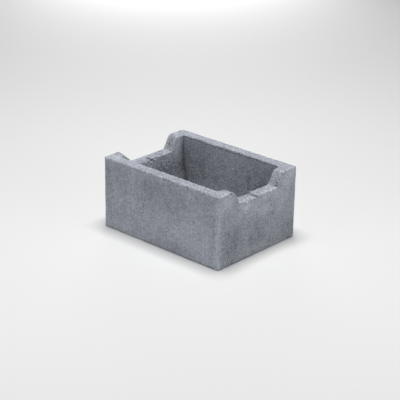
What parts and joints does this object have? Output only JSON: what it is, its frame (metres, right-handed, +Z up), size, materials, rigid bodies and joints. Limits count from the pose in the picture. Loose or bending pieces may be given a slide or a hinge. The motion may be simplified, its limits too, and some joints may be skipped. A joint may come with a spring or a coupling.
{
  "type": "hollow concrete formwork block",
  "caption": "Hollow rectangular concrete block with an open core, drafted walls and a trapezoidal notch in the top of each end wall, laid dry and filled with reinforced concrete.",
  "frame": {"origin": "middle of the bed face, on the floor", "axes": "+X along the block's length, +Y across its width, +Z up, towards the notched top"},
  "size_m": [0.39, 0.29, 0.19],
  "materials": {
    "concrete": "raw vibro-pressed concrete, matt and fine-grained with small pores"
  },
  "bodies": {
    "root": {"hollow_block": "concrete"}
  },
  "joints": []
}
